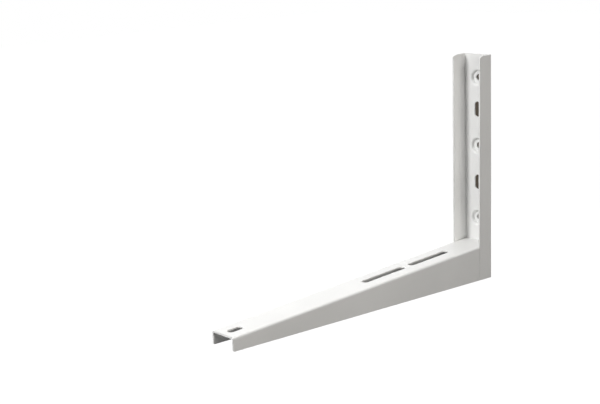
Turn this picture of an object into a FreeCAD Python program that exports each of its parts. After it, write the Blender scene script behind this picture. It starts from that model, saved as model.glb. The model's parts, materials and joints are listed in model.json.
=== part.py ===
"""Wall bracket: a folded channel upright with a tapered channel arm welded to it."""
import FreeCAD, Part
import math
import os
import Sketcher

V = FreeCAD.Vector
doc = FreeCAD.newDocument("wall_bracket")

# Driving dimensions, in millimetres. A reach is measured from the back of the upright's web.
SIZES = [
    ("sheet_thickness", 2.0, "thickness of both folded sheets"),
    ("bend_radius", 3.0, "outer radius of every long fold"),
    ("upright_width", 44.0, "outside width of the upright, and of the arm at its root"),
    ("upright_depth", 27.5, "back of the web to the front edges of the flanges"),
    ("upright_rise", 251.0, "height of the upright above the arm's top face"),
    ("flange_lean", 2.4, "how much shallower the flanges are at the top than at the arm"),
    ("flange_corner", 8.0, "rounding of the flanges' top front corners"),
    ("arm_reach", 450.0, "back of the web to the arm's tip"),
    ("root_depth", 47.0, "depth of the arm's sides where they meet the upright"),
    ("tip_depth", 16.0, "depth of the arm's sides at the tip"),
    ("tip_width", 35.0, "outside width of the arm at the tip"),
    ("tip_corner", 2.0, "rounding of the lower corners at the tip"),
    ("wall_slot_width", 9.0, "width of the upright slots"),
    ("wall_slot_length", 20.0, "end to end length of the upright slots"),
    ("low_slot_gap", 49.5, "from the lowest dish up to the lower upright slot's centre"),
    ("high_slot_gap", 41.5, "from the highest dish down to the upper upright slot's centre"),
    ("dish_mouth", 20.0, "diameter of a pressed dish at the web's front face"),
    ("dish_depth", 4.0, "how far a dish stands out behind the web"),
    ("dish_angle", 65.0, "slope of a dish's wall, in degrees from the web"),
    ("dish_fold", 1.0, "inner radius of a dish's two folds"),
    ("wall_hole", 9.0, "diameter of the bolt hole in a dish"),
    ("dish_low", 31.0, "from the arm's top face up to the lowest dish"),
    ("dish_high", 31.0, "from the upright's top down to the highest dish"),
    ("dish_shift", 4.0, "how far above the midpoint of those two the middle dish lies"),
    ("arm_slot_width", 9.0, "width of the slots in the arm's top"),
    ("arm_slot_length", 76.0, "end to end length of a long arm slot"),
    ("arm_slot_start", 68.5, "reach of the first long slot's rear end"),
    ("arm_slot_bridge", 10.0, "metal left between the two long slots"),
    ("tip_slot_length", 20.0, "end to end length of the slot near the tip"),
    ("tip_slot_inset", 18.0, "distance of that slot's centre from the tip"),
    ("web_weld_leg", 3.0, "leg of the fillet weld under the arm's top, where it meets the web"),
    ("web_weld_inset", 5.5, "distance from that weld's ends to the upright's sides"),
    ("side_weld_width", 5.0, "width of the welds inside the side joints"),
    ("side_weld_height", 1.2, "height of the welds inside the side joints"),
    ("side_weld_inset", 3.0, "distance from a side weld's ends to the joint's ends"),
]
book = doc.addObject("Spreadsheet::Sheet", "Sizes")
book.Label = "driving dimensions"
for row, (alias, value, note) in enumerate(SIZES, start=1):
    book.set("A%d" % row, alias)
    book.set("B%d" % row, str(value))
    book.set("C%d" % row, note)
    book.setAlias("B%d" % row, alias)
doc.recompute()


def size(alias):
    """The current value of a driving dimension."""
    return float(book.get(alias))


# Sizes that follow from the driving ones, as expressions and as numbers: the slope of the
# arm's lower edges, the taper of each side in plan, the upright's depth below the arm's top,
# and the heights of the dishes and slots above it.
T = "Sizes.sheet_thickness"
LEAN = "((Sizes.root_depth - Sizes.tip_depth) / (Sizes.arm_reach - Sizes.upright_depth))"
TAPER = "((Sizes.upright_width - Sizes.tip_width) / 2 / (Sizes.arm_reach - Sizes.upright_depth))"
HEEL = "(Sizes.root_depth + %s * Sizes.upright_depth)" % LEAN
HIGH = "(Sizes.upright_rise - Sizes.dish_high)"
MIDDLE = "((Sizes.dish_low + %s) / 2 + Sizes.dish_shift)" % HIGH
LOW_SLOT = "(Sizes.dish_low + Sizes.low_slot_gap)"
HIGH_SLOT = "(%s - Sizes.high_slot_gap)" % HIGH
SPARE = 5.0
thick = size("sheet_thickness")
bend = size("bend_radius")
half = size("upright_width") / 2
depth = size("upright_depth")
rise = size("upright_rise")
reach = size("arm_reach")
root = size("root_depth")
tip = size("tip_depth")
half_tip = size("tip_width") / 2
lean = (root - tip) / (reach - depth)
taper = (half - half_tip) / (reach - depth)
heel = root + lean * depth
low_dish = size("dish_low")
high_dish = rise - size("dish_high")
middle_dish = (low_dish + high_dish) / 2 + size("dish_shift")
DISHES = (("Low", low_dish, "Sizes.dish_low"), ("Middle", middle_dish, MIDDLE), ("High", high_dish, HIGH))


def new_body(label):
    """A body that sits in the bracket's frame: the wall plane is X = 0, and Z = 0 is the
    middle wall hole. Inside the body, Z = 0 is the arm's top face and X = 0 the web's back."""
    body = doc.addObject("PartDesign::Body", label)
    body.Label = label
    body.setExpression("Placement.Base.x", "Sizes.dish_depth")
    body.setExpression("Placement.Base.z", "-" + MIDDLE)
    return body


def new_sketch(body, name, plane, offset=None):
    """A sketch on one of the body's origin planes, moved along the plane's normal."""
    flat = [f for f in body.Origin.OriginFeatures if f.Role == plane][0]
    sketch = body.newObject("Sketcher::SketchObject", name)
    sketch.AttachmentSupport = (flat, [""])
    sketch.MapMode = "FlatFace"
    if offset:
        sketch.setExpression("AttachmentOffset.Base.z", offset)
    doc.recompute()
    return sketch


def bind(sketch, constraint, name, expression):
    """Add a dimension, name it and tie it to the spreadsheet."""
    index = sketch.addConstraint(constraint)
    sketch.renameConstraint(index, name)
    sketch.setExpression("Constraints." + name, expression)


def line(sketch, a, b):
    return sketch.addGeometry(Part.LineSegment(a, b), False)


def arc(sketch, centre, radius, start, end):
    """An arc drawn anticlockwise from one angle to another, in degrees."""
    circle = Part.Circle(centre, V(0, 0, 1), radius)
    return sketch.addGeometry(Part.ArcOfCircle(circle, math.radians(start), math.radians(end)), False)


def touch(sketch, straight, end, bow):
    """Join a line's end to the end of an arc that lies there, without a corner."""
    where = sketch.getPoint(straight, end)
    near = 1 if sketch.getPoint(bow, 1).distanceToPoint(where) < 1e-6 else 2
    sketch.addConstraint(Sketcher.Constraint("Tangent", straight, end, bow, near))


def pin(sketch, geo, end, name, x=None, y=None):
    """Fix one point of a sketch by its distances from the sketch's origin."""
    point = sketch.getPoint(geo, end)
    if x is not None:
        bind(sketch, Sketcher.Constraint("DistanceX", -1, 1, geo, end, point.x), name + "_x", x)
    if y is not None:
        bind(sketch, Sketcher.Constraint("DistanceY", -1, 1, geo, end, point.y), name + "_y", y)


def polygon(sketch, corners):
    """A closed outline. Each corner is (x, y, x expression, y expression)."""
    points = [V(c[0], c[1], 0) for c in corners]
    count = len(points)
    edges = [line(sketch, points[i], points[(i + 1) % count]) for i in range(count)]
    for i in range(count):
        sketch.addConstraint(Sketcher.Constraint("Coincident", edges[i], 2, edges[(i + 1) % count], 1))
    for i, corner in enumerate(corners):
        pin(sketch, edges[i], 1, "corner%d" % i, corner[2], corner[3])
    return edges


def channel(sketch, width, deep, width_size, depth_size):
    """A folded channel's section: a web along Y on the sketch's axis, and a flange towards +X
    from each end of it, with equal folds and one thickness all the way round."""
    t, r, a = thick, bend, width / 2
    g = {}
    g["out1"] = line(sketch, V(deep, -a, 0), V(r, -a, 0))
    g["web1"] = line(sketch, V(0, r - a, 0), V(0, a - r, 0))
    g["out2"] = line(sketch, V(r, a, 0), V(deep, a, 0))
    g["end2"] = line(sketch, V(deep, a, 0), V(deep, a - t, 0))
    g["in2"] = line(sketch, V(deep, a - t, 0), V(r, a - t, 0))
    g["web2"] = line(sketch, V(t, a - r, 0), V(t, r - a, 0))
    g["in1"] = line(sketch, V(r, t - a, 0), V(deep, t - a, 0))
    g["end1"] = line(sketch, V(deep, t - a, 0), V(deep, -a, 0))
    g["fold1"] = arc(sketch, V(r, r - a, 0), r, 180, 270)
    g["fold2"] = arc(sketch, V(r, a - r, 0), r, 90, 180)
    g["hem1"] = arc(sketch, V(r, r - a, 0), r - t, 180, 270)
    g["hem2"] = arc(sketch, V(r, a - r, 0), r - t, 90, 180)
    for straight, end, fold in (("out1", 2, "fold1"), ("web1", 1, "fold1"), ("web1", 2, "fold2"),
                                ("out2", 1, "fold2"), ("in2", 2, "hem2"), ("web2", 1, "hem2"),
                                ("web2", 2, "hem1"), ("in1", 1, "hem1")):
        touch(sketch, g[straight], end, g[fold])
    for one, end, two, start in (("out2", 2, "end2", 1), ("end2", 2, "in2", 1),
                                 ("in1", 2, "end1", 1), ("end1", 2, "out1", 1)):
        sketch.addConstraint(Sketcher.Constraint("Coincident", g[one], end, g[two], start))
    for upright_line in ("web1", "end1", "end2"):
        sketch.addConstraint(Sketcher.Constraint("Vertical", g[upright_line]))
    for flange in ("out1", "out2"):
        sketch.addConstraint(Sketcher.Constraint("Horizontal", g[flange]))
    for fold, hem in (("fold1", "hem1"), ("fold2", "hem2")):
        sketch.addConstraint(Sketcher.Constraint("Coincident", g[fold], 3, g[hem], 3))
    sketch.addConstraint(Sketcher.Constraint("Equal", g["fold1"], g["fold2"]))
    sketch.addConstraint(Sketcher.Constraint("Symmetric", g["out1"], 1, g["out2"], 2, -1))
    sketch.addConstraint(Sketcher.Constraint("PointOnObject", g["web1"], 1, -2))
    overall = Sketcher.Constraint("DistanceY", g["out1"], 1, g["out2"], 2, width)
    bind(sketch, overall, "width", width_size)
    bind(sketch, Sketcher.Constraint("DistanceX", -1, 1, g["out2"], 2, deep), "depth", depth_size)
    bind(sketch, Sketcher.Constraint("Radius", g["fold1"], r), "fold", "Sizes.bend_radius")
    bind(sketch, Sketcher.Constraint("Distance", g["end1"], t), "gauge", T)
    doc.recompute()


def slot(sketch, along, x, y, length, width, at, length_size, width_size):
    """A slot with round ends. at is its centre's expression along the slot."""
    r, straight = width / 2, (length - width) / 2
    if along == "x":
        half_run, half_width, turns = V(straight, 0, 0), V(0, r, 0), ((90, 270), (270, 450))
    else:
        half_run, half_width, turns = V(0, straight, 0), V(-r, 0, 0), ((180, 360), (0, 180))
    centre = V(x, y, 0)
    one, two = centre - half_run, centre + half_run
    cap1 = arc(sketch, one, r, *turns[0])
    cap2 = arc(sketch, two, r, *turns[1])
    side1 = line(sketch, one + half_width, two + half_width)
    side2 = line(sketch, two - half_width, one - half_width)
    for side, end, cap in ((side1, 1, cap1), (side1, 2, cap2), (side2, 1, cap2), (side2, 2, cap1)):
        touch(sketch, side, end, cap)
    axis = -1 if along == "x" else -2
    sketch.addConstraint(Sketcher.Constraint("PointOnObject", cap1, 3, axis))
    sketch.addConstraint(Sketcher.Constraint("PointOnObject", cap2, 3, axis))
    bind(sketch, Sketcher.Constraint("Radius", cap1, r), "radius", "%s / 2" % width_size)
    span = "(%s - %s) / 2" % (length_size, width_size)
    kind = "DistanceX" if along == "x" else "DistanceY"
    start = one.x if along == "x" else one.y
    stop = two.x if along == "x" else two.y
    bind(sketch, Sketcher.Constraint(kind, -1, 1, cap1, 3, start), "first", "%s - %s" % (at, span))
    bind(sketch, Sketcher.Constraint(kind, -1, 1, cap2, 3, stop), "last", "%s + %s" % (at, span))
    doc.recompute()


def feature(body, kind, name, profile, sizes=None, **settings):
    """A feature on a sketch, with its sizes tied to the spreadsheet."""
    made = body.newObject(kind, name)
    made.Profile = profile
    for key, value in settings.items():
        setattr(made, key, value)
    for key, expression in (sizes or {}).items():
        made.setExpression(key, expression)
    profile.Visibility = False
    doc.recompute()
    return made


def cut_through(body, name, profile):
    """A pocket through everything behind its sketch, checked to remove something."""
    before = body.Shape.Volume
    made = feature(body, "PartDesign::Pocket", name, profile, Type="ThroughAll")
    if body.Shape.Volume > before - 1e-3:
        raise RuntimeError(name + " cuts nothing")
    return made


def repeat(body, name, original, axis, pitch, count):
    """Equal copies of a feature along one of the body's axes."""
    made = body.newObject("PartDesign::LinearPattern", name)
    line_ = [f for f in body.Origin.OriginFeatures if f.Role == axis][0]
    made.Originals = [original]
    made.Direction = (line_, [""])
    made.Occurrences = count
    made.setExpression("Length", pitch)
    body.Tip = made
    doc.recompute()
    return made


def edges_where(shape, test):
    """Names of the edges that a test accepts."""
    return ["Edge%d" % (i + 1) for i, edge in enumerate(shape.Edges) if test(edge)]


def round_edges(body, name, test, radius, count):
    """A fillet on the edges that a test accepts, checked to find as many as expected."""
    base = body.Tip
    names = edges_where(base.Shape, test)
    if len(names) != count:
        raise RuntimeError("%s found %d edges, not %d" % (name, len(names), count))
    made = body.newObject("PartDesign::Fillet", name)
    made.Base = (base, names)
    made.setExpression("Radius", radius)
    doc.recompute()
    return made


def circle_at(edge, x, heights, radius):
    """True for a full circle round the X axis direction at a depth, a height and a radius."""
    curve = edge.Curve
    if not isinstance(curve, Part.Circle) or abs(curve.Radius - radius) > 1e-4:
        return False
    centre = curve.Center
    return abs(centre.x - x) < 1e-4 and any(abs(centre.z - h) < 1e-4 for h in heights)


# Upright: one folded sheet, web to the wall and flanges forward.
upright = new_body("upright")
section = new_sketch(upright, "UprightSection", "XY_Plane", "-" + HEEL)
channel(section, 2 * half, depth, "Sizes.upright_width", "Sizes.upright_depth")
feature(upright, "PartDesign::Pad", "UprightSheet", section, {"Length": "Sizes.upright_rise + " + HEEL})

# Its lower end is cut on the line of the arm's lower edges.
foot = new_sketch(upright, "FootCut", "XZ_Plane", "Sizes.upright_width")
past_front = "Sizes.upright_depth + %g" % SPARE
below_heel = "-%s - %g" % (HEEL, SPARE)
polygon(foot, [
    (0, -heel, "0", "-" + HEEL),
    (depth + SPARE, -root + lean * SPARE, past_front, "-Sizes.root_depth + %s * %g" % (LEAN, SPARE)),
    (depth + SPARE, -heel - SPARE, past_front, below_heel),
    (0, -heel - SPARE, "0", below_heel),
])
doc.recompute()
cut_through(upright, "FootPocket", foot)

# Above the arm the flanges' front edges lean back, and their top front corners are rounded.
front = new_sketch(upright, "FrontCut", "XZ_Plane", "Sizes.upright_width")
top_depth = depth - size("flange_lean")
polygon(front, [
    (depth, 0, "Sizes.upright_depth", "0"),
    (depth - size("flange_lean") * (1 + SPARE / rise), rise + SPARE,
     "Sizes.upright_depth - Sizes.flange_lean * (1 + %g / Sizes.upright_rise)" % SPARE,
     "Sizes.upright_rise + %g" % SPARE),
    (depth + SPARE, rise + SPARE, past_front, "Sizes.upright_rise + %g" % SPARE),
    (depth + SPARE, 0, past_front, "0"),
])
doc.recompute()
cut_through(upright, "FrontPocket", front)
round_edges(
    upright, "FlangeCorners",
    lambda e: isinstance(e.Curve, Part.Line) and abs(e.CenterOfMass.x - top_depth) < 1e-4
    and abs(e.CenterOfMass.z - rise) < 1e-4,
    "Sizes.flange_corner", 2)

# Two slots for wall bolts.
low_slot = new_sketch(upright, "WallSlot", "YZ_Plane", "Sizes.sheet_thickness + Sizes.bend_radius")
slot(low_slot, "y", 0, low_dish + size("low_slot_gap"),
     size("wall_slot_length"), size("wall_slot_width"),
     LOW_SLOT, "Sizes.wall_slot_length", "Sizes.wall_slot_width")
low_pocket = cut_through(upright, "WallSlotPocket", low_slot)
repeat(upright, "WallSlots", low_pocket, "Z_Axis", "%s - %s" % (HIGH_SLOT, LOW_SLOT), 2)

# Three dishes pressed towards the wall, each with a bolt hole in its floor.
SLOPE = "tan(Sizes.dish_angle)"
slope = math.tan(math.radians(size("dish_angle")))
mouth = size("dish_mouth") / 2
sink = size("dish_depth")
floor = mouth - sink / slope
GROW = "(Sizes.sheet_thickness * (1 / sin(Sizes.dish_angle) - 1 / tan(Sizes.dish_angle)))"
grow = thick * (1 / math.sin(math.radians(size("dish_angle"))) - 1 / slope)
MOUTH = "(Sizes.dish_mouth / 2)"
FLOOR = "(Sizes.dish_mouth / 2 - Sizes.dish_depth / %s)" % SLOPE

# Each cone is given by the depth and the radius at its floor and at its mouth: the outer one is
# added behind the web and ends in mid-sheet, the inner one is cut out and runs on past the front.
CONES = (
    ("Back", "PartDesign::Revolution",
     (-sink, "-Sizes.dish_depth"), (floor + grow, FLOOR + " + " + GROW),
     (thick / 2, T + " / 2"),
     (mouth + grow + thick / 2 / slope, MOUTH + " + " + GROW + " + " + T + " / 2 / " + SLOPE)),
    ("Front", "PartDesign::Groove",
     (thick - sink, T + " - Sizes.dish_depth"), (floor, FLOOR),
     (thick + 1, T + " + 1"), (mouth + 1 / slope, MOUTH + " + 1 / " + SLOPE)),
)


def turned(body, kind, name, profile, volume_rises):
    """Turn a profile about its own centre line, checked to add or remove material."""
    before = body.Shape.Volume
    made = feature(body, kind, name, profile, ReferenceAxis=(profile, ["Axis0"]), Angle=360.0)
    if (body.Shape.Volume > before) != volume_rises:
        raise RuntimeError(name + " has no effect")
    return made


for tag, here, at in DISHES:
    for part_name, kind, deep_end, deep_radius, mouth_end, mouth_radius in CONES:
        profile = new_sketch(upright, "Dish%s%s" % (part_name, tag), "XZ_Plane")
        sides = polygon(profile, [
            (deep_end[0], here, deep_end[1], at),
            (deep_end[0], here + deep_radius[0], deep_end[1], at + " + " + deep_radius[1]),
            (mouth_end[0], here + mouth_radius[0], mouth_end[1], at + " + " + mouth_radius[1]),
            (mouth_end[0], here, mouth_end[1], at),
        ])
        axis = Part.LineSegment(V(deep_end[0], here, 0), V(mouth_end[0], here, 0))
        centre = profile.addGeometry(axis, True)
        profile.addConstraint(Sketcher.Constraint("Coincident", centre, 1, sides[0], 1))
        profile.addConstraint(Sketcher.Constraint("Coincident", centre, 2, sides[3], 1))
        doc.recompute()
        turned(upright, kind, "%s%s" % (part_name, tag), profile, part_name == "Back")

heights = [here for tag, here, at in DISHES]
round_edges(
    upright, "DishOuterFolds",
    lambda e: circle_at(e, thick, heights, mouth) or circle_at(e, -sink, heights, floor + grow),
    "Sizes.dish_fold + " + T, 6)
round_edges(
    upright, "DishInnerFolds",
    lambda e: circle_at(e, 0, heights, mouth + grow) or circle_at(e, thick - sink, heights, floor),
    "Sizes.dish_fold", 6)
bolt_holes = new_sketch(upright, "WallHoles", "YZ_Plane", T)
for i, (tag, here, at) in enumerate(DISHES):
    circle = Part.Circle(V(0, here, 0), V(0, 0, 1), size("wall_hole") / 2)
    hole = bolt_holes.addGeometry(circle, False)
    bolt_holes.addConstraint(Sketcher.Constraint("PointOnObject", hole, 3, -2))
    pin(bolt_holes, hole, 3, "hole%d" % i, y=at)
    across = Sketcher.Constraint("Diameter", hole, size("wall_hole"))
    bind(bolt_holes, across, "bolt%d" % i, "Sizes.wall_hole")
doc.recompute()
cut_through(upright, "WallHolePocket", bolt_holes)

# Arm: one folded sheet, tapered in depth and in width, open below.
arm = new_body("arm")
plan = new_sketch(arm, "ArmPlan", "XY_Plane")
polygon(plan, [
    (depth, -half, "Sizes.upright_depth", "-Sizes.upright_width / 2"),
    (reach, -half_tip, "Sizes.arm_reach", "-Sizes.tip_width / 2"),
    (reach, half_tip, "Sizes.arm_reach", "Sizes.tip_width / 2"),
    (depth, half, "Sizes.upright_depth", "Sizes.upright_width / 2"),
])
doc.recompute()
feature(arm, "PartDesign::Pad", "ArmBlank", plan, {"Length": "Sizes.root_depth"}, Reversed=True)


def runs_along(edge, height):
    """True for a straight edge that runs the arm's whole length at one height."""
    box = edge.BoundBox
    return (isinstance(edge.Curve, Part.Line) and box.XLength > (reach - depth) / 2
            and abs(box.ZMin - height) < 1e-4 and abs(box.ZMax - height) < 1e-4)


round_edges(arm, "ArmFolds", lambda e: runs_along(e, 0), "Sizes.bend_radius", 2)

# The hollow under it leaves one sheet's thickness at the top and at each side.
hollow = new_sketch(arm, "ArmHollow", "XY_Plane", "-" + T)
corners = []
for x, near_half, x_size, half_size, past in (
        (depth, half, "Sizes.upright_depth", "Sizes.upright_width / 2", -SPARE),
        (reach, half_tip, "Sizes.arm_reach", "Sizes.tip_width / 2", SPARE)):
    y = near_half - thick - taper * past
    y_size = "(%s - %s - %s * %g)" % (half_size, T, TAPER, past)
    pair = [(x + past, -y, "%s + %g" % (x_size, past), "-" + y_size),
            (x + past, y, "%s + %g" % (x_size, past), y_size)]
    corners += pair if past > 0 else pair[::-1]
polygon(hollow, corners)
doc.recompute()
cut_through(arm, "ArmHollowPocket", hollow)
round_edges(arm, "ArmHems", lambda e: runs_along(e, -thick), "Sizes.bend_radius - " + T, 2)

# Its sides are cut on a slant below, with the lower corners at the tip rounded.
STEEP = "sqrt(1 + %s ^ 2)" % LEAN
CORNER = "(Sizes.tip_corner * (%s - %s))" % (STEEP, LEAN)
steep = math.sqrt(1 + lean * lean)
corner = size("tip_corner")
tangent = corner * (steep - lean)
lowest = -root - lean * SPARE
lower = new_sketch(arm, "LowerEdge", "XZ_Plane", "Sizes.upright_width")
points = [V(depth - SPARE, lowest, 0), V(reach - tangent / steep, -tip - tangent * lean / steep, 0),
          V(reach, -tip + tangent, 0), V(reach + SPARE, -tip + tangent, 0),
          V(reach + SPARE, lowest - SPARE, 0), V(depth - SPARE, lowest - SPARE, 0)]
slant = line(lower, points[0], points[1])
bow = arc(lower, V(reach - corner, -tip + tangent, 0), corner, math.degrees(math.atan(lean)) + 270, 360)
edges = [line(lower, points[i], points[(i + 1) % 6]) for i in (2, 3, 4, 5)]
touch(lower, slant, 2, bow)
lower.addConstraint(Sketcher.Constraint("Coincident", bow, 2, edges[0], 1))
for one, two in zip(edges, edges[1:] + [slant]):
    lower.addConstraint(Sketcher.Constraint("Coincident", one, 2, two, 1))
lower.addConstraint(Sketcher.Constraint("Horizontal", bow, 3, bow, 2))
behind, ahead = "Sizes.upright_depth - %g" % SPARE, "Sizes.arm_reach + %g" % SPARE
low_size = "(-Sizes.root_depth - %s * %g)" % (LEAN, SPARE)
pin(lower, slant, 1, "back", behind, low_size)
pin(lower, bow, 3, "centre", "Sizes.arm_reach - Sizes.tip_corner", "-Sizes.tip_depth + " + CORNER)
bind(lower, Sketcher.Constraint("Radius", bow, corner), "corner", "Sizes.tip_corner")
pin(lower, edges[1], 1, "front", ahead, "-Sizes.tip_depth + " + CORNER)
pin(lower, edges[2], 1, "under_front", ahead, "%s - %g" % (low_size, SPARE))
pin(lower, edges[3], 1, "under_back", behind, "%s - %g" % (low_size, SPARE))
doc.recompute()
cut_through(arm, "LowerEdgePocket", lower)

# The flat of its top runs on between the upright's flanges and meets the web.
tongue = new_sketch(arm, "Tongue", "XY_Plane")
polygon(tongue, [
    (thick, bend - half, T, "Sizes.bend_radius - Sizes.upright_width / 2"),
    (depth, bend - half, "Sizes.upright_depth", "Sizes.bend_radius - Sizes.upright_width / 2"),
    (depth, half - bend, "Sizes.upright_depth", "Sizes.upright_width / 2 - Sizes.bend_radius"),
    (thick, half - bend, T, "Sizes.upright_width / 2 - Sizes.bend_radius"),
])
doc.recompute()
feature(arm, "PartDesign::Pad", "TonguePad", tongue, {"Length": T}, Reversed=True)

# Slots in its top for the feet of what it carries.
long_slot = new_sketch(arm, "LongSlot", "XY_Plane", T)
slot(long_slot, "x", size("arm_slot_start") + size("arm_slot_length") / 2, 0,
     size("arm_slot_length"), size("arm_slot_width"),
     "(Sizes.arm_slot_start + Sizes.arm_slot_length / 2)",
     "Sizes.arm_slot_length", "Sizes.arm_slot_width")
long_pocket = cut_through(arm, "LongSlotPocket", long_slot)
repeat(arm, "LongSlots", long_pocket, "X_Axis", "Sizes.arm_slot_length + Sizes.arm_slot_bridge", 2)
short_slot = new_sketch(arm, "TipSlot", "XY_Plane", T)
slot(short_slot, "x", reach - size("tip_slot_inset"), 0, size("tip_slot_length"), size("arm_slot_width"),
     "(Sizes.arm_reach - Sizes.tip_slot_inset)", "Sizes.tip_slot_length", "Sizes.arm_slot_width")
cut_through(arm, "TipSlotPocket", short_slot)

# Fillet weld in the corner between the underside of the arm's top and the web.
web_weld = new_body("weld_web")
leg = size("web_weld_leg")
bead = new_sketch(web_weld, "WebWeldSection", "XZ_Plane", "Sizes.web_weld_inset - Sizes.upright_width / 2")
sole = line(bead, V(thick, -thick, 0), V(thick + leg, -thick, 0))
back = line(bead, V(thick, -thick - leg, 0), V(thick, -thick, 0))
swell = arc(bead, V(thick, -thick, 0), leg, 270, 360)
bead.addConstraint(Sketcher.Constraint("Coincident", back, 2, sole, 1))
bead.addConstraint(Sketcher.Constraint("Coincident", sole, 2, swell, 2))
bead.addConstraint(Sketcher.Constraint("Coincident", swell, 1, back, 1))
bead.addConstraint(Sketcher.Constraint("Coincident", swell, 3, sole, 1))
bead.addConstraint(Sketcher.Constraint("Horizontal", sole))
bead.addConstraint(Sketcher.Constraint("Vertical", back))
pin(bead, sole, 1, "corner", T, "-" + T)
bind(bead, Sketcher.Constraint("Radius", swell, leg), "leg", "Sizes.web_weld_leg")
doc.recompute()
feature(web_weld, "PartDesign::Pad", "WebWeldBead", bead,
        {"Length": "Sizes.upright_width - 2 * Sizes.web_weld_inset"})

# Weld inside each side joint, over the edge where a flange meets the arm's side.
wide = size("side_weld_width") / 2
crest = size("side_weld_height")
inner = half - thick
for label, side in (("weld_near", 1), ("weld_far", -1)):
    weld = new_body(label)
    sign = "" if side > 0 else "-"
    run = new_sketch(weld, "Run" + label.split("_")[1].capitalize(), "XY_Plane",
                     "-Sizes.bend_radius - Sizes.side_weld_inset")
    flange_end = V(depth - wide, side * inner, 0)
    joint_edge = V(depth, side * inner, 0)
    arm_end = V(depth + wide, side * (inner - taper * wide), 0)
    crown = V(depth, side * (inner - crest), 0)
    first = line(run, flange_end, joint_edge)
    second = line(run, joint_edge, arm_end)
    bow = run.addGeometry(Part.Arc(arm_end, crown, flange_end), False)
    ends = (1, 2) if run.getPoint(bow, 1).distanceToPoint(arm_end) < 1e-6 else (2, 1)
    run.addConstraint(Sketcher.Constraint("Coincident", first, 2, second, 1))
    run.addConstraint(Sketcher.Constraint("Coincident", second, 2, bow, ends[0]))
    run.addConstraint(Sketcher.Constraint("Coincident", bow, ends[1], first, 1))
    inside = "%s(Sizes.upright_width / 2 - %s)" % (sign, T)
    pin(run, first, 1, "flange", "Sizes.upright_depth - Sizes.side_weld_width / 2", inside)
    pin(run, first, 2, "joint", "Sizes.upright_depth", inside)
    pin(run, second, 2, "arm", "Sizes.upright_depth + Sizes.side_weld_width / 2",
        "%s(Sizes.upright_width / 2 - %s - %s * Sizes.side_weld_width / 2)" % (sign, T, TAPER))
    bulge = (wide * wide + crest * crest) / (2 * crest)
    bind(run, Sketcher.Constraint("Radius", bow, bulge), "bulge",
         "((Sizes.side_weld_width / 2) ^ 2 + Sizes.side_weld_height ^ 2) / (2 * Sizes.side_weld_height)")
    doc.recompute()
    feature(weld, "PartDesign::Pad", "Bead" + label.split("_")[1].capitalize(), run,
            {"Length": "Sizes.root_depth - Sizes.bend_radius - 2 * Sizes.side_weld_inset"}, Reversed=True)

# Check every object, then write one file for each piece.
doc.recompute()
for item in doc.Objects:
    if "Invalid" in item.State or "Error" in item.State:
        raise RuntimeError("%s did not build: %s" % (item.Name, item.State))
os.makedirs("parts", exist_ok=True)
for piece in (upright, arm, web_weld, doc.getObject("weld_near"), doc.getObject("weld_far")):
    shape = piece.Shape
    if shape.isNull() or not shape.isValid() or len(shape.Solids) != 1:
        raise RuntimeError(piece.Label + " is not one valid solid")
    shape.exportStep("parts/%s.step" % piece.Label)
    box = shape.BoundBox
    print("%-10s volume %9.1f  x %7.2f..%7.2f  y %6.2f..%6.2f  z %7.2f..%7.2f" % (
        piece.Label, shape.Volume, box.XMin, box.XMax, box.YMin, box.YMax, box.ZMin, box.ZMax))
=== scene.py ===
import json
import math

import bmesh
import bpy
import numpy as np
from bpy.props import FloatProperty, FloatVectorProperty, PointerProperty
from bpy.types import Operator, Panel, PropertyGroup
from mathutils import Matrix, Vector


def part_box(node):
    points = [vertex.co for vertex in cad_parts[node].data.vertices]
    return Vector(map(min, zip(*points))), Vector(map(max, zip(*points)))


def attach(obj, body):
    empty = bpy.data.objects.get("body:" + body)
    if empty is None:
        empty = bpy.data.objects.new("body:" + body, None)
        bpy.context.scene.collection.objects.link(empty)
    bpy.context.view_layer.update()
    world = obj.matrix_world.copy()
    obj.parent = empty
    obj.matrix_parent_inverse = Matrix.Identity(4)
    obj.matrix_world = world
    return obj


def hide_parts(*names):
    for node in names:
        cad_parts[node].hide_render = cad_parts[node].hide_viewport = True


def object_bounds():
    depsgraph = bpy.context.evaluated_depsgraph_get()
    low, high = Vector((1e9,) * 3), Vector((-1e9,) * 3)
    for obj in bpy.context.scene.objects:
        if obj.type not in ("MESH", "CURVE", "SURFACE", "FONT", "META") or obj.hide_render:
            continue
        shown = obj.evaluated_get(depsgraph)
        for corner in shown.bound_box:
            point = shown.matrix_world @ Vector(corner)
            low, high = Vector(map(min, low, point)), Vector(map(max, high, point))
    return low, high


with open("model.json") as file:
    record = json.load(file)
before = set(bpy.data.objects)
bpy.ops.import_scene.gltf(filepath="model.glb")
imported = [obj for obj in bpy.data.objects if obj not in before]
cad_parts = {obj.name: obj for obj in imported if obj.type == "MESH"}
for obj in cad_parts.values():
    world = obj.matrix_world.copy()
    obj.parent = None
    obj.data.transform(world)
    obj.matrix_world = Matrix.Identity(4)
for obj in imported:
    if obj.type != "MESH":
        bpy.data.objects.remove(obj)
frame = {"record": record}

bl_info = {
    "name": "Wall bracket",
    "version": (1, 0, 0),
    "blender": (4, 5, 0),
    "location": "View3D > Sidebar > Bracket",
    "description": "Folded sheet, weld beads, powder coat and studio of a wall bracket",
    "category": "Object",
}

# Sizes that the frame gives, in metres: X away from the wall, Y across, Z up.
CAD_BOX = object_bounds()
UPRIGHT_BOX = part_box("upright")
ARM_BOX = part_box("arm")
MOUNTS = {mount["name"]: mount for mount in frame["record"]["mounts"]}
WALL_HOLES = ("wall_hole_low", "wall_hole_middle", "wall_hole_high")

MM = 0.001
JOIN = 1e-6          # points nearer than this are one point

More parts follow.
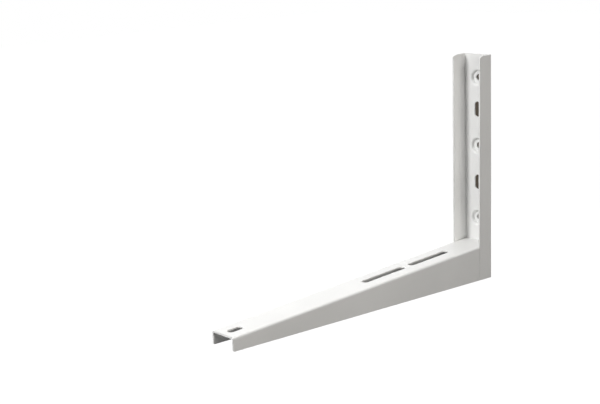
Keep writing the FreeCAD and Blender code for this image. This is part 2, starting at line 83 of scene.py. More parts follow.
# Fineness of the sheets.
ACROSS = 12          # steps across a plate, and round each quarter of an opening
FOLD_STEPS = 10      # steps round a right-angle fold
PRESS_STEPS = 6      # steps round each fold of a dish
FLANGE_STEPS = 3     # steps along the flat of a flange
SIDE_STEPS = 4       # steps down a side of the arm
BLANK_STEP = 9 * MM  # longest step along a plain stretch of plate
SLOT_MARGIN = 5 * MM  # plate that a slot's cell holds past each end of the slot
DISH_CELL = 14 * MM  # half the length of the cell round a dish
FOOT_RUN = 12 * MM   # stretch of the upright that slides to its slanted lower edge
HEAD_RUN = 14 * MM   # stretch of the upright that slides to its rounded corners
CELL_RINGS = (0.4, 1.0)  # rings of a cell's plate, as shares of the way to its rim
EDGE_STEPS = 3       # steps round a coated edge
EDGE_ANGLE = 40      # least angle, in degrees, of an edge that the coat rounds

# Weld beads.
FILLET_STEPS = 12    # steps round the face of the fillet
ROUND_STEPS = 16     # steps round the face of a flat bead
RIPPLE_STEPS = 8     # steps along each ripple
SHORTEST_BEAD = 24   # least number of steps along a bead
CRESCENT = 1.1       # how far a ripple bows along its bead, in pitches
FILLET_POWER = 1.5   # 1 makes a fillet's face a quarter round, and 2 makes it flat

# Powder coat: noise scales in waves a metre, each noise's detail, the spread of the
# roughness and the coat's index of refraction.
TONE_SCALE, TONE_DETAIL = 14.0, 2.0
WANDER_SCALE, WANDER_DETAIL = 120.0, 3.0
GRAIN_DETAIL = 2.0
WANDER = 0.04
COAT_IOR = 1.5

# The camera and the stage.
PICTURE = (600, 404)  # width and height of the picture, in pixels
FOCAL = 1025.67      # focal length in those pixels
SENSOR = 36.0        # width of the camera's sensor, in millimetres
CAMERA_PLACE = (1.08883, 0.81306, 0.26916)
CAMERA_ANGLES = (227.038, -14.076, -2.730)  # yaw, pitch and roll, in degrees
FLOOR_REACH = 8.0    # half the floor's side
CARD_MIDDLE = (479, 150)  # pixel of the upright that the dark card stands behind
CARD_HALF = (7, 80)  # half its width and height, in pixels
CARD_REACH = 2.6     # its distance from the camera
CARD_COLOUR = (0.11, 0.09, 0.07, 1)
FLOOR_COLOUR = (0.08, 0.08, 0.08, 1)
MATT = 0.9           # roughness of the floor and the card
WHITE = (1, 1, 1)

# Each lamp of the stage: its place, the side of its square and its tint. The web stands
# between the back light and the arm's root, and the near flange between the side light
# and the channel's far corner, so both fall into shade. The rear light is below the arm,
# where its reflection in the arm's top misses the camera.
LAMPS = {
    "top": ((0.4, 0.0, 2.0), 1.2, WHITE),
    "back": ((-0.5, 0.0, 1.9), 1.2, WHITE),
    "front": ((1.78, -0.4, 0.85), 0.5, WHITE),
    "side": ((0.44, 1.1, 0.3), 0.5, (1, 0.97, 0.925)),
    "rear": ((-1.1, -1.3, -0.3), 0.8, WHITE),
}


# ---------------------------------------------------------------- user values


class SheetValues(PropertyGroup):
    thickness: FloatProperty(
        name="Sheet", description="Thickness of the steel sheet, coat included",
        default=2 * MM, min=0.0005, max=0.006, subtype="DISTANCE", unit="LENGTH",
        precision=5)
    bend_radius: FloatProperty(
        name="Bend radius", description="Outer radius of the long folds",
        default=3 * MM, min=0.0021, max=0.01, subtype="DISTANCE", unit="LENGTH",
        precision=5)
    edge_radius: FloatProperty(
        name="Edge rounding", description="Rounding that the coat leaves on a cut edge",
        default=0.35 * MM, min=0.00005, max=0.0009, subtype="DISTANCE", unit="LENGTH",
        precision=5)


class UprightValues(PropertyGroup):
    dish_mouth: FloatProperty(
        name="Dish mouth", description="Width of a dish in the web's front face",
        default=20 * MM, min=0.012, max=0.03, subtype="DISTANCE", unit="LENGTH",
        precision=5)
    dish_depth: FloatProperty(
        name="Dish depth", description="How far a dish is pressed out behind the web",
        default=4 * MM, min=0.001, max=0.008, subtype="DISTANCE", unit="LENGTH",
        precision=5)
    dish_angle: FloatProperty(
        name="Dish wall", description="Slope of a dish's wall from the plane of the web",
        default=math.radians(65), min=math.radians(30), max=math.radians(85),
        subtype="ANGLE", unit="ROTATION")
    floor_fold: FloatProperty(
        name="Floor fold", description="Outer radius round the floor of a dish",
        default=3 * MM, min=0.0021, max=0.006, subtype="DISTANCE", unit="LENGTH",
        precision=5)
    mouth_fold: FloatProperty(
        name="Mouth fold", description="Radius at the mouth of a dish, on the wall's side",
        default=1 * MM, min=0.0002, max=0.004, subtype="DISTANCE", unit="LENGTH",
        precision=5)
    flange_lean: FloatProperty(
        name="Flange lean", description="How much shallower the flanges are at the top",
        default=2.4 * MM, min=0.0, max=0.015, subtype="DISTANCE", unit="LENGTH",
        precision=5)
    corner_length: FloatProperty(
        name="Corner length", description="Length of the rounding at the flanges' top",
        default=13 * MM, min=0.0005, max=0.02, subtype="DISTANCE", unit="LENGTH",
        precision=5)
    corner_drop: FloatProperty(
        name="Corner drop", description="Height of the rounding at the flanges' top",
        default=2.8 * MM, min=0.0005, max=0.012, subtype="DISTANCE", unit="LENGTH",
        precision=5)


class ArmValues(PropertyGroup):
    tip_width: FloatProperty(
        name="Tip width", description="Width of the arm at its tip",
        default=35 * MM, min=0.02, max=0.044, subtype="DISTANCE", unit="LENGTH",
        precision=5)
    tip_depth: FloatProperty(
        name="Tip depth", description="Depth of the arm's sides at its tip",
        default=16 * MM, min=0.008, max=0.047, subtype="DISTANCE", unit="LENGTH",
        precision=5)
    tip_corner: FloatProperty(
        name="Tip corner", description="Radius of the lower corners at the tip",
        default=2 * MM, min=0.0005, max=0.006, subtype="DISTANCE", unit="LENGTH",
        precision=5)
    tip_slot: FloatProperty(
        name="Tip slot", description="Length of the short slot near the tip",
        default=20 * MM, min=0.01, max=0.06, subtype="DISTANCE", unit="LENGTH",
        precision=5)


class BeadValues(PropertyGroup):
    pitch: FloatProperty(
        name="Ripple pitch", description="Distance between the ripples of a bead",
        default=1.4 * MM, min=0.0005, max=0.005, subtype="DISTANCE", unit="LENGTH",
        precision=5)
    ripple: FloatProperty(
        name="Ripple", description="Depth of the ripples, as a share of the bead's height",
        default=0.16, min=0.0, max=0.5, subtype="FACTOR")
    end_length: FloatProperty(
        name="End", description="Length over which a bead rises at each end",
        default=2.2 * MM, min=0.0005, max=0.01, subtype="DISTANCE", unit="LENGTH",
        precision=5)


class CoatValues(PropertyGroup):
    colour: FloatVectorProperty(
        name="Colour", description="Colour of the powder coat",
        default=(0.8, 0.8, 0.79), min=0.0, max=1.0, size=3, subtype="COLOR")
    roughness: FloatProperty(
        name="Roughness", description="Roughness of the satin coat",
        default=0.42, min=0.05, max=1.0, subtype="FACTOR")
    grain: FloatProperty(
        name="Grain", description="Size of the coat's orange-peel waves",
        default=1.1 * MM, min=0.0002, max=0.01, subtype="DISTANCE", unit="LENGTH",
        precision=5)
    grain_depth: FloatProperty(
        name="Grain depth", description="Height of the coat's orange-peel waves",
        default=0.012 * MM, min=0.0, max=0.0005, subtype="DISTANCE", unit="LENGTH",
        precision=6)
    tone: FloatProperty(
        name="Tone change", description="Change of the coat's lightness over a hand's width",
        default=0.03, min=0.0, max=0.5, subtype="FACTOR")


class StageValues(PropertyGroup):
    top: FloatProperty(
        name="Top light", description="Power of the large light over the arm",
        default=8.8, min=0.0, soft_max=500.0, unit="POWER")
    back: FloatProperty(
        name="Back light", description="Power of the large light above and behind the web",
        default=16.0, min=0.0, soft_max=500.0, unit="POWER")
    front: FloatProperty(
        name="Front light", description="Power of the light that the web faces",
        default=28.0, min=0.0, soft_max=500.0, unit="POWER")
    side: FloatProperty(
        name="Side light", description="Power of the light on the near side",
        default=5.9, min=0.0, soft_max=500.0, unit="POWER")
    rear: FloatProperty(
        name="Rear light", description="Power of the light on the back and the far side",
        default=9.0, min=0.0, soft_max=500.0, unit="POWER")
    ambient: FloatProperty(
        name="Ambient", description="Strength of the even light from all round",
        default=0.06, min=0.0, max=1.0, subtype="FACTOR")
    floor_drop: FloatProperty(
        name="Floor below arm",
        description="Height of the bracket's lowest edge over the floor",
        default=0.35, min=0.01, soft_max=2.0, subtype="DISTANCE", unit="LENGTH")
    floor_glow: FloatProperty(
        name="Floor lift", description="What the camera sees on the floor over its own light",
        default=0.95, min=0.0, max=1.0, subtype="FACTOR")


# ------------------------------------------------------------ sheet surfaces


def opening_ring(half_straight, half_length, half_width, centre):
    """Stations round one opening, in plan (u across, v along the sheet).

    The opening is a circle or a slot with round ends: at angle a its edge is
    (r cos a, s + r sin a), where s moves from -h to h along the slot's straight
    sides. Each station also has a point on the cell's rim: on the long sides
    u = +-w(v) and v = s + (L - h) tan a, and on the ends v = +-L and u = w(L) tan a'.
    Here h, L and w are half_straight, half_length and half_width.
    Gives the angles, the shifts and the rim, the first station repeated at the end, and
    the places along the sheet of the rim's points on a long side.
    """
    eighth = math.radians(45)
    if half_straight > 0:
        quarter = np.linspace(-eighth, 0, ACROSS // 2 + 1)
        steps = max(1, round(2 * half_straight / BLANK_STEP))
        run = np.linspace(-half_straight, half_straight, steps + 1)[1:-1]
        side_angle = np.concatenate([quarter, 0 * run, -quarter[::-1]])
        side_shift = np.concatenate(
            [0 * quarter - half_straight, run, 0 * quarter + half_straight])
    else:
        side_angle = np.linspace(-eighth, eighth, ACROSS + 1)
        side_shift = 0 * side_angle
    side_v = side_shift + (half_length - half_straight) * np.tan(side_angle)
    end_angle = np.linspace(-eighth, eighth, ACROSS + 1)
    end_u = np.tan(end_angle)

    right = np.stack([half_width(centre + side_v), side_v], axis=1)
    left = np.stack([-half_width(centre + side_v), side_v], axis=1)[::-1]
    top_width = half_width(centre + half_length)
    low_width = half_width(centre - half_length)
    top = np.stack([-top_width * end_u, 0 * end_u + half_length], axis=1)
    low = np.stack([low_width * end_u, 0 * end_u - half_length], axis=1)
    rim = np.concatenate([right[:-1], top[:-1], left[:-1], low])
    angles = np.concatenate([
        side_angle[:-1], end_angle[:-1] + math.pi / 2,
        side_angle[:-1] + math.pi, end_angle + 1.5 * math.pi])
    shifts = np.concatenate([
        side_shift[:-1], 0 * end_angle[:-1] + half_straight,
        side_shift[::-1][:-1], 0 * end_angle - half_straight])
    rim[:, 1] += centre
    return angles, shifts, rim, centre + side_v


def cell(opening, half_width):
    """Plate round one opening: rows of the profile carried round it, then out to the rim.

    Row k is the opening's ring at radius r_k and pressed depth p_k. Past the last row
    the plate is flat, P = ring + t (rim - ring), for t from 0 to 1. Gives the patch and
    its places along the sheet.
    """
    angles, shifts, rim, along = opening_ring(
        opening["half_straight"], opening["half_length"], half_width, opening["centre"])
    radii, depths = np.array(opening["profile"], float).T
    u = radii[:, None] * np.cos(angles)
    v = radii[:, None] * np.sin(angles) + shifts + opening["centre"]
    rows = np.stack([u, v, depths[:, None] + 0 * u], axis=2)
    last = rows[-1]
    share = np.array(CELL_RINGS)[:, None, None]
    rim3 = np.column_stack([rim, 0 * angles])
    flat = last + share * (rim3 - last)
    return np.concatenate([rows, flat]), along


def blank(start, end, half_width):
    """Plain plate between two cells: u = w(v) tan a for a from -45 to 45 degrees."""
    steps = max(1, math.ceil((end - start) / BLANK_STEP - JOIN))
    along = np.linspace(start, end, steps + 1)
    across = np.tan(np.radians(np.linspace(-45, 45, ACROSS + 1)))
    u = half_width(along)[:, None] * across
    return np.stack([u, along[:, None] + 0 * u, 0 * u], axis=2), along


def punched_plate(openings, start, end, half_width, extra=()):
    """Flat plate from start to end with openings: cells, and blanks between them.

    extra holds stations that the plain stretches also stop at. Gives the patches and
    every station along the plate's long edges, which its folds take over.
    """
    patches, stations, reached = [], [], start
    spans = [(o["centre"] - o["half_length"], o["centre"] + o["half_length"], o)
             for o in openings]
    for low, high, opening in [*spans, (end, end, None)]:
        for stop in [*[e for e in extra if reached + JOIN < e < low - JOIN], low]:
            if stop - reached > JOIN:
                patch, along = blank(reached, stop, half_width)
                patches.append(patch)
                stations.append(along[:-1])
                reached = stop
        if opening is not None:
            patch, along = cell(opening, half_width)
            patches.append(patch)
            stations.append(along[:-1])
            reached = high
    return patches, np.concatenate([*stations, [end]])


def slot_opening(centre, length, width):
    """A slot with round ends, in a cell that reaches a little past each end."""
    return {"centre": centre, "profile": [(width / 2, 0.0)],
            "half_straight": (length - width) / 2,
            "half_length": length / 2 + SLOT_MARGIN}


def dish_opening(centre, hole_radius, sheet, upright):
    """A hole in the floor of a pressed dish, as a profile of (radius, pressed depth).

    The floor is flat out to its fold, an arc of the floor radius turns it to the wall's
    slope, the wall rises straight, and an arc of the mouth radius turns it back into
    the plate. The wall's line meets the plate at mouth/2 + thickness tan(slope/2).
    """
    slope = upright.dish_angle
    outer = upright.dish_mouth / 2 + sheet.thickness * math.tan(slope / 2)
    inner = outer - upright.dish_depth / math.tan(slope)
    turn = np.linspace(0, slope, PRESS_STEPS + 1)
    floor_centre = inner - upright.floor_fold * math.tan(slope / 2)
    mouth_centre = outer + upright.mouth_fold * math.tan(slope / 2)
    floor = [(hole_radius, upright.dish_depth),
             ((hole_radius + floor_centre) / 2, upright.dish_depth)]
    fold = np.column_stack([
        floor_centre + upright.floor_fold * np.sin(turn),
        upright.dish_depth - upright.floor_fold * (1 - np.cos(turn))])
    mouth = np.column_stack([
        mouth_centre - upright.mouth_fold * np.sin(turn[::-1]),
        upright.mouth_fold * (1 - np.cos(turn[::-1]))])
    return {"centre": centre, "profile": [*floor, *map(tuple, fold), *map(tuple, mouth)],
            "half_straight": 0.0, "half_length": DISH_CELL}


def quads_of(points):
    """Corners and quads of a grid of points, rows by columns by 3."""
    rows, columns = points.shape[:2]
    index = np.arange(rows * columns).reshape(rows, columns)
    quads = np.stack(
        [index[:-1, :-1], index[:-1, 1:], index[1:, 1:], index[1:, :-1]], axis=-1)
    return points.reshape(-1, 3), quads.reshape(-1, 4)


def mesh_from(name, patches, away_from=None):
    """One mesh from grids of points, with the corners that they share merged.

    away_from turns every face away from the line in the middle of an open channel: it
    takes the faces' centres and gives the points of that line beside them. A closed
    shell has its normals recalculated instead.
    """
    corners, quads, used = [], [], 0
    for patch in patches:
        points, faces = quads_of(patch)
        corners.append(points)
        quads.append(faces + used)
        used += len(points)
    corners, quads = np.concatenate(corners), np.concatenate(quads)
    if away_from is not None:
        square = corners[quads]
        normal = np.cross(square[:, 2] - square[:, 0], square[:, 3] - square[:, 1])
        centre = square.mean(axis=1)
        inward = np.einsum("ij,ij->i", normal, centre - away_from(centre)) < 0
        quads[inward] = quads[inward][:, ::-1]
    mesh = bpy.data.meshes.new(name)
    mesh.from_pydata(corners, [], quads)
    work = bmesh.new()
    work.from_mesh(mesh)
    bmesh.ops.remove_doubles(work, verts=work.verts, dist=JOIN)
    if away_from is None:
        bmesh.ops.recalc_face_normals(work, faces=work.faces)
    work.to_mesh(mesh)
    work.free()
    mesh.polygons.foreach_set("use_smooth", np.ones(len(mesh.polygons), bool))
    mesh.update()
    piece = bpy.data.objects.new(name, mesh)
    bpy.context.scene.collection.objects.link(piece)
    return piece


def finish_sheet(piece, sheet):
    """Gives the outer surface its thickness inwards, then rounds the cut edges."""
    solid = piece.modifiers.new("thickness", "SOLIDIFY")
    solid.thickness = sheet.thickness
    solid.offset = -1
    solid.use_even_offset = True
    edges = piece.modifiers.new("coated_edges", "BEVEL")
    edges.width = sheet.edge_radius
    edges.use_clamp_overlap = False
    edges.segments = EDGE_STEPS
    edges.limit_method = "ANGLE"
    edges.angle_limit = math.radians(EDGE_ANGLE)
    edges.harden_normals = True


# ------------------------------------------------------------- powder coat


def new_group(name, inputs, outputs):
    """A shader node group with named sockets, each (name, type) or (name, type, value)."""
    tree = bpy.data.node_groups.new(name, "ShaderNodeTree")
    for socket_name, kind, value in inputs:
        socket = tree.interface.new_socket(socket_name, in_out="INPUT", socket_type=kind)
        socket.default_value = value
    for socket_name, kind in outputs:
        tree.interface.new_socket(socket_name, in_out="OUTPUT", socket_type=kind)
    return tree


def coat_group(coat):
    """Powder coat: a little lighter and darker over a hand's width, and orange peel.

    Colour is the coat's colour times 1 +- tone, Roughness wanders with a finer noise,
    and Height is the orange peel, from 0 to 1.
    """
    tree = new_group(
        "powder_coat",
        [("Colour", "NodeSocketColor", (*coat.colour, 1)),
         ("Tone", "NodeSocketFloat", coat.tone),
         ("Roughness", "NodeSocketFloat", coat.roughness),
         ("Grain scale", "NodeSocketFloat", 1 / coat.grain)],
        [("Colour", "NodeSocketColor"), ("Roughness", "NodeSocketFloat"),
         ("Height", "NodeSocketFloat")])
    nodes, links = tree.nodes, tree.links
    given = nodes.new("NodeGroupInput")
    result = nodes.new("NodeGroupOutput")
    place = nodes.new("ShaderNodeTexCoord")

    def noise(scale, detail):
        """Noise over the piece, at the group's own grain scale where none is given."""
        node = nodes.new("ShaderNodeTexNoise")
        node.inputs["Detail"].default_value = detail
        links.new(place.outputs["Object"], node.inputs["Vector"])
        if scale is None:
            links.new(given.outputs["Grain scale"], node.inputs["Scale"])
        else:
            node.inputs["Scale"].default_value = scale
        return node.outputs["Fac"]

    def spread(source, low, high):
        """The middle of a noise's range, from 0.3 to 0.7, spread from low to high."""
        node = nodes.new("ShaderNodeMapRange")
        links.new(source, node.inputs["Value"])
        node.inputs["From Min"].default_value = 0.3
        node.inputs["From Max"].default_value = 0.7
        node.inputs["To Min"].default_value = low
        node.inputs["To Max"].default_value = high
        return node.outputs["Result"]

    def combined(kind, one, other):
        """The sum or product of a socket and another socket or a number."""
        node = nodes.new("ShaderNodeMath")
        node.operation = kind
        for socket, source in zip(node.inputs, (one, other)):
            if isinstance(source, float):
                socket.default_value = source
            else:
                links.new(source, socket)
        return node.outputs["Value"]

    drift = spread(noise(TONE_SCALE, TONE_DETAIL), -1.0, 1.0)
    change = combined("MULTIPLY", drift, given.outputs["Tone"])
    lightness = combined("ADD", change, 1.0)
    tint = nodes.new("ShaderNodeMix")
    tint.data_type = "RGBA"
    tint.blend_type = "MULTIPLY"
    tint.inputs["Factor"].default_value = 1.0
    links.new(given.outputs["Colour"], tint.inputs["A"])
    shade = nodes.new("ShaderNodeCombineColor")
    for channel in ("Red", "Green", "Blue"):
        links.new(lightness, shade.inputs[channel])
    links.new(shade.outputs["Color"], tint.inputs["B"])
    links.new(tint.outputs["Result"], result.inputs["Colour"])
    wander = spread(noise(WANDER_SCALE, WANDER_DETAIL), -WANDER, WANDER)
    roughness = combined("ADD", wander, given.outputs["Roughness"])
    links.new(roughness, result.inputs["Roughness"])
    links.new(noise(None, GRAIN_DETAIL), result.inputs["Height"])
    return tree


def coat_material(coat):
    """White satin powder coat over steel."""
    material = bpy.data.materials.new("white_powder_coat")
    material.use_nodes = True
    nodes, links = material.node_tree.nodes, material.node_tree.links
    shader = nodes["Principled BSDF"]
    shader.inputs["IOR"].default_value = COAT_IOR
    group = nodes.new("ShaderNodeGroup")
    group.node_tree = bpy.data.node_groups.get("powder_coat") or coat_group(coat)
    group.inputs["Colour"].default_value = (*coat.colour, 1)
    group.inputs["Tone"].default_value = coat.tone
    group.inputs["Roughness"].default_value = coat.roughness
    group.inputs["Grain scale"].default_value = 1 / coat.grain
    peel = nodes.new("ShaderNodeBump")
    peel.inputs["Strength"].default_value = 1.0
    peel.inputs["Distance"].default_value = coat.grain_depth
    links.new(group.outputs["Height"], peel.inputs["Height"])
    links.new(group.outputs["Colour"], shader.inputs["Base Color"])
    links.new(group.outputs["Roughness"], shader.inputs["Roughness"])
    links.new(peel.outputs["Normal"], shader.inputs["Normal"])
    return material


def dress(piece, node):
    """Coats a piece, lets it ride on the bracket and puts it in the CAD node's place."""
    coat = bpy.context.scene.bracket_coat
    material = bpy.data.materials.get("white_powder_coat") or coat_material(coat)
    piece.data.materials.append(material)
    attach(piece, "root")
    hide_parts(node)


# ------------------------------------------------------------------ pieces


def lower_edge(x):
    """Height of the bracket's lower edge: a straight line from the tip through the root."""
    arm = bpy.context.scene.bracket_arm
    root, tip = ARM_BOX[0].z, ARM_BOX[1].z - arm.tip_depth
    return root + (tip - root) * (x - UPRIGHT_BOX[1].x) / (ARM_BOX[1].x - UPRIGHT_BOX[1].x)


class BRACKET_OT_upright(Operator):
    """Make the upright: a channel of folded sheet with dishes and slots in its web"""
    bl_idname = "bracket.upright"
    bl_label = "Upright sheet"

    def execute(self, context):
        scene = context.scene
        sheet, upright = scene.bracket_sheet, scene.bracket_upright
        low, high = UPRIGHT_BOX
        bend = sheet.bend_radius
        half = high.y - bend
        web_back = low.x + upright.dish_depth
        slots = MOUNTS["wall_slots"]
        slot_z = slots["dims"]["spacing_y_mm"] / 2 * MM
        openings = [
            slot_opening(z, slots["dims"]["slot_length_mm"] * MM,
                         2 * slots["dims"]["hole_r_mm"] * MM)
            for z in (-slot_z, slot_z)]
        openings += [
            dish_opening(MOUNTS[name]["pos_m"][2], MOUNTS[name]["dims"]["r_mm"] * MM,
                         sheet, upright)
            for name in WALL_HOLES]
        openings.sort(key=lambda opening: opening["centre"])

        foot, head = lower_edge(web_back), high.z
        foot_run, head_run = foot + FOOT_RUN, head - HEAD_RUN
        plates, along = punched_plate(
            openings, foot, head, lambda v: half + 0 * v, (foot_run, head_run))
        patches = [np.stack([web_back - p[..., 2], p[..., 0], p[..., 1]], axis=2)
                   for p in plates]

        # Folds and flanges share the plate's stations. Near the foot they slide to the
        # slanted lower edge, and near the head to a quarter of an ellipse. Above the arm the
        # flanges' depth shrinks evenly towards the top.
        turn = np.linspace(0, math.pi / 2, FOLD_STEPS + 1)
        corner, drop = upright.corner_length, upright.corner_drop
        start = web_back + bend
        flat = np.linspace(start, high.x - corner, FLANGE_STEPS + 1)
        fold_x = web_back + bend * (1 - np.cos(turn))
        fold_y = half + bend * np.sin(turn)
        flange_x = np.concatenate([flat[1:], high.x - corner + corner * np.sin(turn[1:])])
        x = np.concatenate([fold_x, flange_x])
        y = np.concatenate([fold_y, 0 * flange_x + high.y])
        past = np.clip(x - (high.x - corner), 0, corner)
        top = head - drop + drop * np.sqrt(1 - (past / corner) ** 2)
        z = along[:, None] + 0 * x
        z = np.where(z < foot_run, foot_run + (z - foot_run)
                     * (lower_edge(x) - foot_run) / (foot - foot_run), z)
        z = np.where(z > head_run, head_run + (z - head_run)
                     * (top - head_run) / (head - head_run), z)
        level = ARM_BOX[1].z
        shrink = upright.flange_lean * np.clip((z - level) / (head - level), 0, 1)
        x = x - shrink * np.clip((x - start) / (high.x - start), 0, 1)
        for side in (-1, 1):
            patches.append(np.stack([x, side * y + 0 * z, z], axis=2))

        def middle(centre):
            """The upright line half-way between the wall and the flanges' edges."""
            return centre * (0, 0, 1) + ((low.x + high.x) / 2, 0, 0)

        piece = mesh_from("upright_sheet", patches, middle)
        finish_sheet(piece, sheet)
        dress(piece, "upright")
        return {"FINISHED"}


class BRACKET_OT_arm(Operator):
    """Make the arm: an inverted channel of folded sheet that tapers to its tip"""
    bl_idname = "bracket.arm"
    bl_label = "Arm sheet"

    def execute(self, context):
        scene = context.scene
        sheet, arm = scene.bracket_sheet, scene.bracket_arm
        low, high = ARM_BOX
        bend = sheet.bend_radius
        root, tip, top = UPRIGHT_BOX[1].x, high.x, high.z
        corner = arm.tip_corner
        narrowing = (high.y - arm.tip_width / 2) / (tip - root)

        def half_top(x):
            """Half the flat top's width: even to the root, then narrowing to the tip."""
            return high.y - bend - narrowing * np.maximum(x - root, 0)

        slots = MOUNTS["arm_slots"]
        width = 2 * slots["dims"]["hole_r_mm"] * MM
        length = slots["dims"]["slot_length_mm"] * MM
        middle_x, spacing = slots["pos_m"][0], slots["dims"]["spacing_x_mm"] * MM
        openings = [slot_opening(middle_x - spacing / 2, length, width),
                    slot_opening(middle_x + spacing / 2, length, width),
                    slot_opening(MOUNTS["tip_slot"]["pos_m"][0], arm.tip_slot, width)]
        sweep = np.linspace(0, math.pi / 2, PRESS_STEPS + 1)
        rounded = tip - corner + corner * np.sin(sweep)
        tongue, _ = punched_plate([], low.x, root, half_top)
        plates, along = punched_plate(openings, root, tip, half_top, tuple(rounded[:-1]))
        patches = [np.stack([p[..., 1], p[..., 0], top + 0 * p[..., 0]], axis=2)
                   for p in [*tongue, *plates]]

        # The folds turn down from the top's edges, and the sides reach the lower edge,
        # which the tip's corner lifts.
        turn = np.linspace(0, math.pi / 2, FOLD_STEPS + 1)
        fold_y = half_top(along)[:, None] + bend * np.sin(turn)
        fold_z = top - bend * (1 - np.cos(turn)) + 0 * fold_y
        past = np.clip(along - (tip - corner), 0, corner)
        foot = lower_edge(along) + corner - np.sqrt(corner ** 2 - past ** 2)
        share = np.linspace(0, 1, SIDE_STEPS + 1)[1:]
        side_z = (top - bend) + (foot[:, None] - (top - bend)) * share
        side_y = (half_top(along) + bend)[:, None] + 0 * side_z
        y = np.concatenate([fold_y, side_y], axis=1)
        z = np.concatenate([fold_z, side_z], axis=1)
        x = along[:, None] + 0 * y
        for side in (-1, 1):
            patches.append(np.stack([x, side * y, z], axis=2))

        def middle(centre):
            """The level line inside the channel, at half the depth of the sides' tip."""
            return centre * (1, 0, 0) + (0, 0, top - arm.tip_depth / 2)

        piece = mesh_from("arm_sheet", patches, middle)
        finish_sheet(piece, sheet)
        dress(piece, "arm")
        return {"FINISHED"}


def bead_patch(start, run, ring, beads):
    """Surface of a weld bead, from start along the vector run.

    P(u, v) = start + u run + s(u, v) ring(v). The size s rises from 0 at each end as a
    quarter of an ellipse, and between the ripples it dips, as
    1 - ripple (1 - |sin(pi (u L - c(v)) / pitch)|), where c bends them into crescents.
    """
    length = float(np.linalg.norm(run))
    steps = max(SHORTEST_BEAD, int(length / beads.pitch * RIPPLE_STEPS))
    u = np.linspace(0, 1, steps + 1)[:, None]
    v = np.linspace(0, 1, len(ring))[None, :]
    near_end = np.clip(np.minimum(u, 1 - u) * length / beads.end_length, 0, 1)
    rise = np.sqrt(1 - (1 - near_end) ** 2)
    crescent = CRESCENT * beads.pitch * (1 - (2 * v - 1) ** 2)
    ripple = np.abs(np.sin(math.pi * (u * length - crescent) / beads.pitch))
    size = (rise * (1 - beads.ripple * (1 - ripple)))[..., None]
    path = np.asarray(start) + u[..., None] * np.asarray(run)
    return path + size * ring


class BRACKET_OT_beads(Operator):
    """Make the weld beads that join the arm to the upright"""
    bl_idname = "bracket.beads"
    bl_label = "Weld beads"

    def execute(self, context):
        beads = context.scene.bracket_beads
        # Under the arm's top, across the web: a fillet whose face bulges a little.
        low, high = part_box("weld_web")
        turn = np.linspace(0, math.pi / 2, FILLET_STEPS + 1)
        leg_x, leg_z = high.x - low.x, high.z - low.z
        face = np.column_stack([leg_x * np.cos(turn) ** FILLET_POWER, 0 * turn,
                                -leg_z * np.sin(turn) ** FILLET_POWER])
        ring = np.concatenate([face, [[0, 0, 0]], face[:1]])
        piece = mesh_from("bead_web", [bead_patch(
            (low.x, low.y, high.z), (0, high.y - low.y, 0), ring, beads)])
        dress(piece, "weld_web")
        # In the side joints: flat beads on the sheets' inner faces.
        turn = np.linspace(0, math.pi, ROUND_STEPS + 1)
        for name, node, side in (("bead_near", "weld_near", 1), ("bead_far", "weld_far", -1)):
            low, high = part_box(node)
            back = high.y if side > 0 else low.y
            ring = np.column_stack(
                [(high.x - low.x) / 2 * np.cos(turn), -side * (high.y - low.y) * np.sin(turn),
                 0 * turn])
            ring = np.concatenate([ring, ring[:1]])
            piece = mesh_from(name, [bead_patch(
                ((low.x + high.x) / 2, back, low.z), (0, 0, high.z - low.z), ring,
                beads)])
            dress(piece, node)
        return {"FINISHED"}


# ------------------------------------------------------------------- stage


def camera_axes():
    """The camera's place, and its right, up and viewing directions.

    They were fitted to the bracket's corners and outlines in the picture. Yaw turns the
    view round Z from +X, pitch lifts it, and roll tips the picture.
    """
    yaw, pitch, roll = (math.radians(angle) for angle in CAMERA_ANGLES)
    right = np.array([math.sin(yaw), -math.cos(yaw), 0])
    view = np.array([math.cos(yaw) * math.cos(pitch), math.sin(yaw) * math.cos(pitch),
                     math.sin(pitch)])
    up = np.cross(right, view)
    return (np.array(CAMERA_PLACE),
            right * math.cos(roll) + up * math.sin(roll),
            up * math.cos(roll) - right * math.sin(roll), view)


def white_where_seen(nodes, links, seen, unseen):
    """A strength that is `seen` for camera, glossy and transmission rays, else `unseen`."""
    path = nodes.new("ShaderNodeLightPath")
    total = path.outputs["Is Camera Ray"]
    for ray in ("Is Glossy Ray", "Is Transmission Ray"):
        both = nodes.new("ShaderNodeMath")
        both.operation = "MAXIMUM"
        links.new(total, both.inputs[0])
        links.new(path.outputs[ray], both.inputs[1])
        total = both.outputs["Value"]
    strength = nodes.new("ShaderNodeMapRange")
    links.new(total, strength.inputs["Value"])
    strength.inputs["To Min"].default_value = unseen
    strength.inputs["To Max"].default_value = seen
    return strength.outputs["Result"]


def soft_light(name, place, size, power, tint):
    """A square light at place, turned towards the middle of the bracket."""
    data = bpy.data.lights.new(name, "AREA")
    data.shape = "SQUARE"
    data.size = size
    data.energy = power
    data.color = tint
    lamp = bpy.data.objects.new(name, data)
    bpy.context.scene.collection.objects.link(lamp)
    lamp.location = place
    aim = (CAD_BOX[0] + CAD_BOX[1]) / 2 - Vector(place)
    lamp.rotation_euler = aim.to_track_quat("-Z", "Y").to_euler()


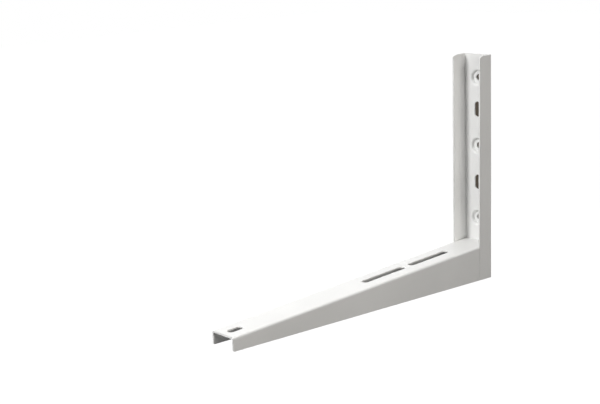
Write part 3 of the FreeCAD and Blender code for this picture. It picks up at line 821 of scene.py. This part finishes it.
class BRACKET_OT_stage(Operator):
    """Make the floor, the lights, the white surroundings and the camera"""
    bl_idname = "bracket.stage"
    bl_label = "Stage"

    def execute(self, context):
        scene = context.scene
        stage = scene.bracket_stage

        world = bpy.data.worlds.new("white_room")
        scene.world = world
        world.use_nodes = True
        nodes, links = world.node_tree.nodes, world.node_tree.links
        air = nodes["Background"]
        air.inputs["Color"].default_value = (*WHITE, 1)
        links.new(white_where_seen(nodes, links, 1.0, stage.ambient), air.inputs["Strength"])

        level = CAD_BOX[0].z - stage.floor_drop
        side = np.array([-FLOOR_REACH, FLOOR_REACH])
        across, along = np.meshgrid(side, side)
        floor = mesh_from("floor", [np.stack([across, along, 0 * across + level], axis=2)],
                          lambda centre: centre - (0, 0, 1))
        paint = bpy.data.materials.new("floor_white")
        paint.use_nodes = True
        nodes, links = paint.node_tree.nodes, paint.node_tree.links
        shader = nodes["Principled BSDF"]
        shader.inputs["Base Color"].default_value = FLOOR_COLOUR
        shader.inputs["Roughness"].default_value = MATT
        shader.inputs["Emission Color"].default_value = (*WHITE, 1)
        links.new(white_where_seen(nodes, links, stage.floor_glow, 0.0),
                  shader.inputs["Emission Strength"])
        floor.data.materials.append(paint)

        for name, (spot, size, tint) in LAMPS.items():
            soft_light(name + "_light", spot, size, getattr(stage, name), tint)

        # A dark card stands far behind the bracket, hidden by the upright, so that the
        # holes through the web look dark against the white surroundings.
        place, view_x, view_y, view = camera_axes()
        half = np.array(CARD_HALF)
        corners = np.array(CARD_MIDDLE) + half * [[(-1, -1), (1, -1)], [(-1, 1), (1, 1)]]
        right, down = np.moveaxis((corners - np.array(PICTURE) / 2) / FOCAL, 2, 0)
        spots = place + CARD_REACH * (
            view + right[..., None] * view_x - down[..., None] * view_y)
        card = mesh_from("dark_card", [spots], lambda centre: centre - (place - centre))
        board = bpy.data.materials.new("card_brown")
        board.use_nodes = True
        shader = board.node_tree.nodes["Principled BSDF"]
        shader.inputs["Base Color"].default_value = CARD_COLOUR
        shader.inputs["Roughness"].default_value = MATT
        card.data.materials.append(board)

        data = bpy.data.cameras.new("camera")
        data.sensor_width = SENSOR
        data.lens = SENSOR * FOCAL / PICTURE[0]
        camera = bpy.data.objects.new("camera", data)
        scene.collection.objects.link(camera)
        turn = Matrix(np.column_stack([view_x, view_y, -view]).tolist()).to_4x4()
        camera.matrix_world = Matrix.Translation(place.tolist()) @ turn
        scene.camera = camera
        scene.view_settings.view_transform = "Standard"
        return {"FINISHED"}


class BRACKET_PT_panel(Panel):
    """Lists the values and the operators, in the order in which they run"""
    bl_idname = "BRACKET_PT_panel"
    bl_label = "Wall bracket"
    bl_space_type = "VIEW_3D"
    bl_region_type = "UI"
    bl_category = "Bracket"

    def draw(self, context):
        for name, group in VALUES.items():
            box = self.layout.box()
            values = getattr(context.scene, name)
            for field in group.__annotations__:
                box.prop(values, field)
        for operator in OPERATORS:
            self.layout.operator(operator.bl_idname)


VALUES = {
    "bracket_sheet": SheetValues,
    "bracket_upright": UprightValues,
    "bracket_arm": ArmValues,
    "bracket_beads": BeadValues,
    "bracket_coat": CoatValues,
    "bracket_stage": StageValues,
}
OPERATORS = (BRACKET_OT_upright, BRACKET_OT_arm, BRACKET_OT_beads, BRACKET_OT_stage)


def register():
    for name, group in VALUES.items():
        bpy.utils.register_class(group)
        setattr(bpy.types.Scene, name, PointerProperty(type=group))
    for operator in OPERATORS:
        bpy.utils.register_class(operator)
    bpy.utils.register_class(BRACKET_PT_panel)


def unregister():
    bpy.utils.unregister_class(BRACKET_PT_panel)
    for operator in reversed(OPERATORS):
        bpy.utils.unregister_class(operator)
    for name, group in reversed(VALUES.items()):
        delattr(bpy.types.Scene, name)
        bpy.utils.unregister_class(group)


def main():
    """Makes every piece in turn."""
    register()
    bpy.ops.bracket.upright()
    bpy.ops.bracket.arm()
    bpy.ops.bracket.beads()
    bpy.ops.bracket.stage()


if __name__ == "__main__":
    main()
